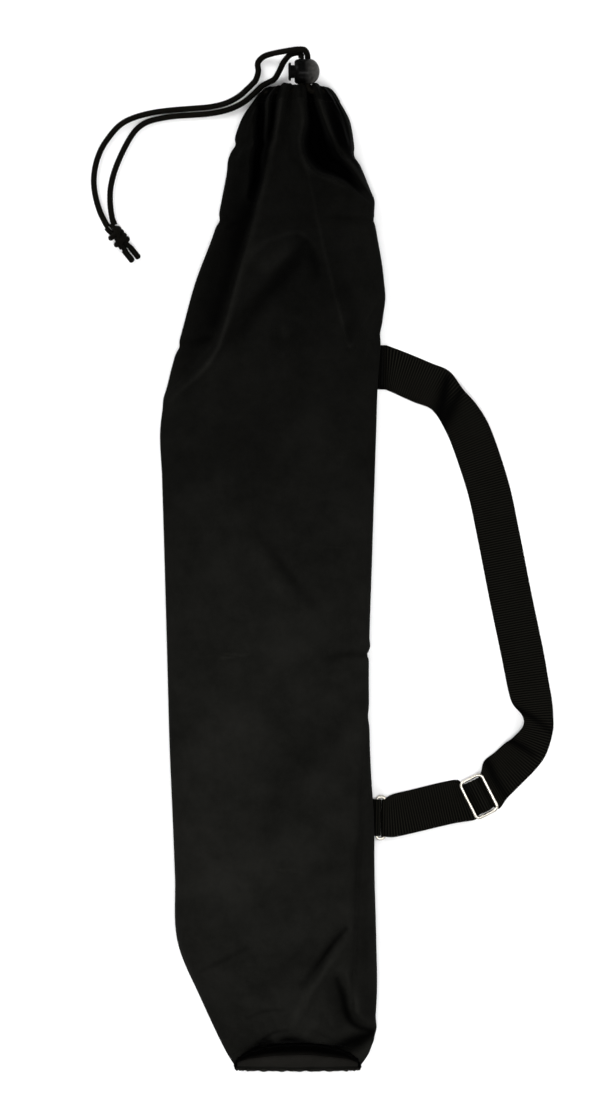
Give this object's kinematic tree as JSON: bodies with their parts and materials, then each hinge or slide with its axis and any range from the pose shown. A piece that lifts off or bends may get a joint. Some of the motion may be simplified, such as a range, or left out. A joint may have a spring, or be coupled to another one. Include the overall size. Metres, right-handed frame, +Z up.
{
  "type": "drawing tube carry sleeve",
  "caption": "Soft drawstring sleeve for a drawing tube: round base, corded mouth with spring cord lock, webbing shoulder strap with wire slider and ring.",
  "frame": {"origin": "on the surface it lies on, under the middle of the sleeve and strap together", "axes": "+Y along the sleeve from its base to its mouth, +Z up from the surface, +X towards the shoulder strap"},
  "size_m": [0.3002, 0.6613, 0.0266],
  "materials": {
    "nylon": "black plain-weave nylon, slight sheen",
    "seam_tape": "black binding tape",
    "cord": "black braided round cord",
    "webbing": "black ribbed webbing",
    "thread": "black sewing thread",
    "lock_plastic": "glossy moulded black",
    "plunger_plastic": "satin moulded black",
    "spring_steel": "bare spring wire",
    "nickel_wire": "nickel-plated bent wire"
  },
  "bodies": {
    "bag": {"sleeve_front": "nylon", "sleeve_back": "nylon", "base_disc": "nylon", "mouth_hem": "nylon", "base_binding": "seam_tape", "side_seam_binding": "seam_tape", "drawcord": "cord", "cord_tail_a": "cord", "cord_tail_b": "cord", "cord_end_a": "cord", "cord_end_b": "cord", "cord_knot": "cord", "strap_sewn_end": "webbing", "strap_end_stitch": "thread", "ring_tab": "webbing", "ring_tab_stitch": "thread"},
    "cord_lock": {"cord_lock_barrel": "lock_plastic", "cord_lock_spring": "spring_steel"},
    "lock_plunger": {"cord_lock_plunger": "plunger_plastic"},
    "strap": {"strap_webbing": "webbing", "slider_loop_stitch": "thread", "strap_ring": "nickel_wire"},
    "slider": {"slider_frame": "nickel_wire", "slider_bar": "nickel_wire"}
  },
  "joints": [
    {"name": "strap_swing", "type": "hinge", "parent": "bag", "child": "strap", "pos_m": [0.0122, -0.164, 0.0029], "axis": [-0.0181, -0.9998, 0.0058], "range_deg": [0, 70]},
    {"name": "slider_tilt", "type": "hinge", "parent": "strap", "child": "slider", "pos_m": [0.0783, -0.1499, 0.00595], "axis": [-0.454, 0.891, 0], "range_deg": [-6, 6], "stiffness_Nm_per_rad": 0.004},
    {"name": "cord_lock_slide", "type": "slide", "parent": "bag", "child": "cord_lock", "axis": [0, 1, 0], "range_m": [0, 0.006], "deforming": ["cord_tail_a", "cord_tail_b"]},
    {"name": "plunger_press", "type": "slide", "parent": "cord_lock", "child": "lock_plunger", "axis": [1, 0, 0], "range_m": [0, 0.002], "stiffness_N_per_m": 400, "springref_m": -0.002, "deforming": ["cord_lock_spring"]}
  ]
}
